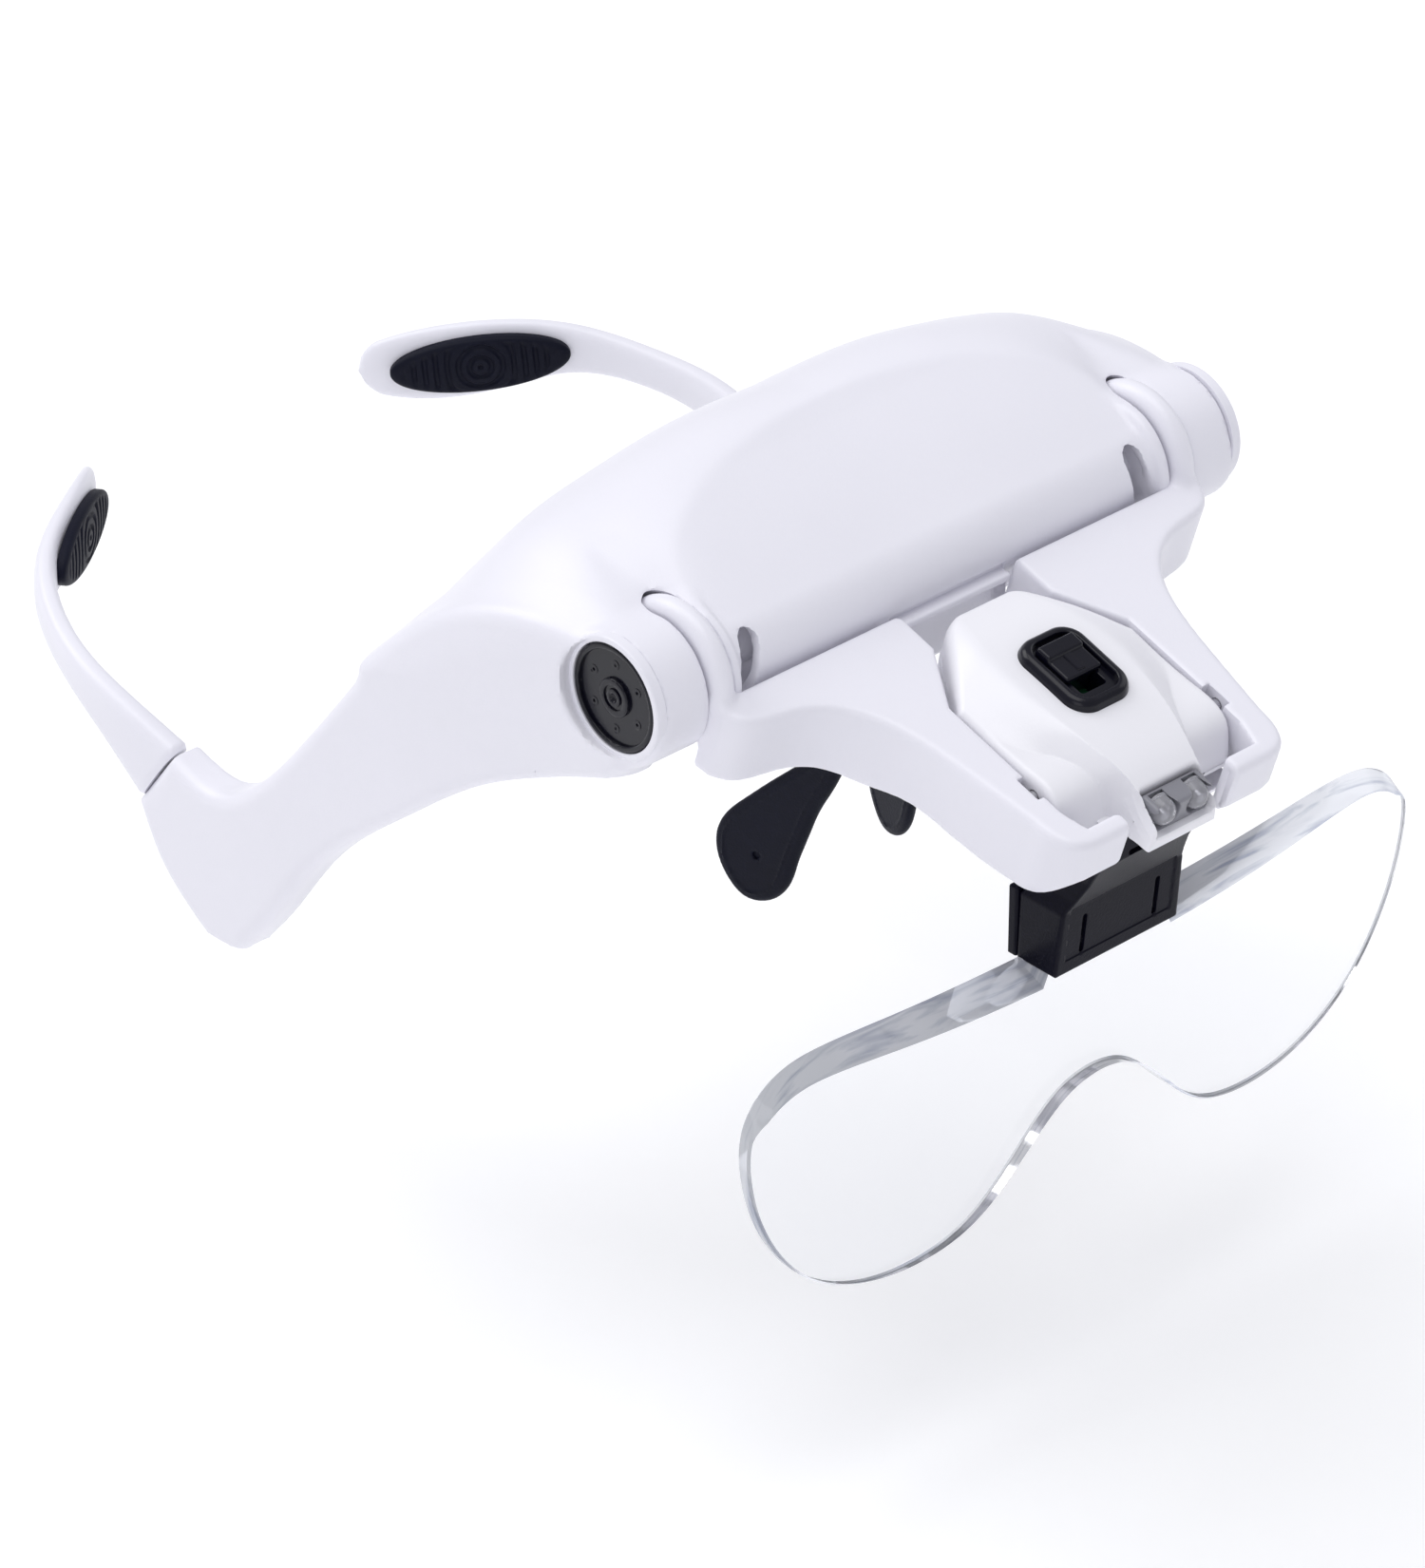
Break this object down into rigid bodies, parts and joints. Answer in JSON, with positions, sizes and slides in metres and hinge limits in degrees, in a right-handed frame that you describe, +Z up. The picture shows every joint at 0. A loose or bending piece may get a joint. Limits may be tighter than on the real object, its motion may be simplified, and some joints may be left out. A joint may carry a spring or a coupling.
{
  "type": "head visor magnifier",
  "caption": "Head-worn magnifier: white housing with side arms, flip-up bracket with tilting lamp, clip-in wide lens, nose rest and plug-in temple legs.",
  "frame": {"origin": "middle of the battery door's forehead side, where the housing meets the head", "axes": "+Y backwards along the arms and legs, -Y forwards to the lens, +X the wearer's left, +Z up"},
  "size_m": [0.1608, 0.2607, 0.1258],
  "materials": {
    "white_shell": "satin moulded",
    "dark_plastic": "satin moulded",
    "soft_pad": "matt soft",
    "clear": "polished",
    "steel": "nickel plated",
    "board": "solder mask",
    "cell_wrap": "satin sleeve"
  },
  "bodies": {
    "frame": {"front_shell": "white_shell", "rear_cover": "white_shell", "cover_screws": "steel", "left_arm_cover": "white_shell", "right_arm_cover": "white_shell", "left_hub_cap": "dark_plastic", "right_hub_cap": "dark_plastic", "left_pivot_pin": "steel", "right_pivot_pin": "steel", "battery_cells": "cell_wrap", "battery_springs": "steel", "battery_tabs": "steel", "battery_tray": "dark_plastic", "nose_pin": "steel"},
    "door": {"battery_door": "white_shell"},
    "bracket": {"bracket_shell": "white_shell", "bracket_cover": "white_shell", "bracket_screws": "steel", "lamp_pins": "steel"},
    "lamp": {"lamp_cover": "white_shell", "lamp_base": "white_shell", "lamp_window": "clear", "leds": "clear", "lamp_board": "board", "switch_bezel": "dark_plastic"},
    "switch": {"switch_slider": "dark_plastic"},
    "lens_unit": {"lens": "clear", "lens_clip": "dark_plastic", "lens_retainer": "dark_plastic", "retainer_screws": "steel"},
    "left_leg_unit": {"left_leg": "white_shell", "left_temple_pad": "soft_pad"},
    "right_leg_unit": {"right_leg": "white_shell", "right_temple_pad": "soft_pad"},
    "nose_rest": {"nose_bridge": "dark_plastic", "left_nose_pad": "soft_pad", "right_nose_pad": "soft_pad"}
  },
  "joints": [
    {"name": "bracket_flip", "type": "hinge", "parent": "frame", "child": "bracket", "pos_m": [0, -0.046, -0.0005], "axis": [-1, 0, 0], "range_deg": [0, 80]},
    {"name": "lamp_tilt", "type": "hinge", "parent": "bracket", "child": "lamp", "pos_m": [0, -0.09749, -0.01677], "axis": [-1, 0, 0], "range_deg": [-6, 10]},
    {"name": "switch_slide", "type": "slide", "parent": "lamp", "child": "switch", "axis": [0, -0.9563, -0.2924], "range_m": [0, 0.0032]},
    {"name": "lens_release", "type": "slide", "parent": "bracket", "child": "lens_unit", "axis": [0, 0, -1], "range_m": [0, 0.014]},
    {"name": "battery_door_release", "type": "slide", "parent": "frame", "child": "door", "axis": [0, 1, 0], "range_m": [0, 0.015]},
    {"name": "left_leg_release", "type": "slide", "parent": "frame", "child": "left_leg_unit", "axis": [0, 0.7915, 0.6112], "range_m": [0, 0.016]},
    {"name": "right_leg_release", "type": "slide", "parent": "frame", "child": "right_leg_unit", "axis": [0, 0.7915, 0.6112], "range_m": [0, 0.016]},
    {"name": "nose_rest_tilt", "type": "hinge", "parent": "frame", "child": "nose_rest", "pos_m": [0, -0.036, -0.021], "axis": [1, 0, 0], "range_deg": [-12, 12]}
  ]
}
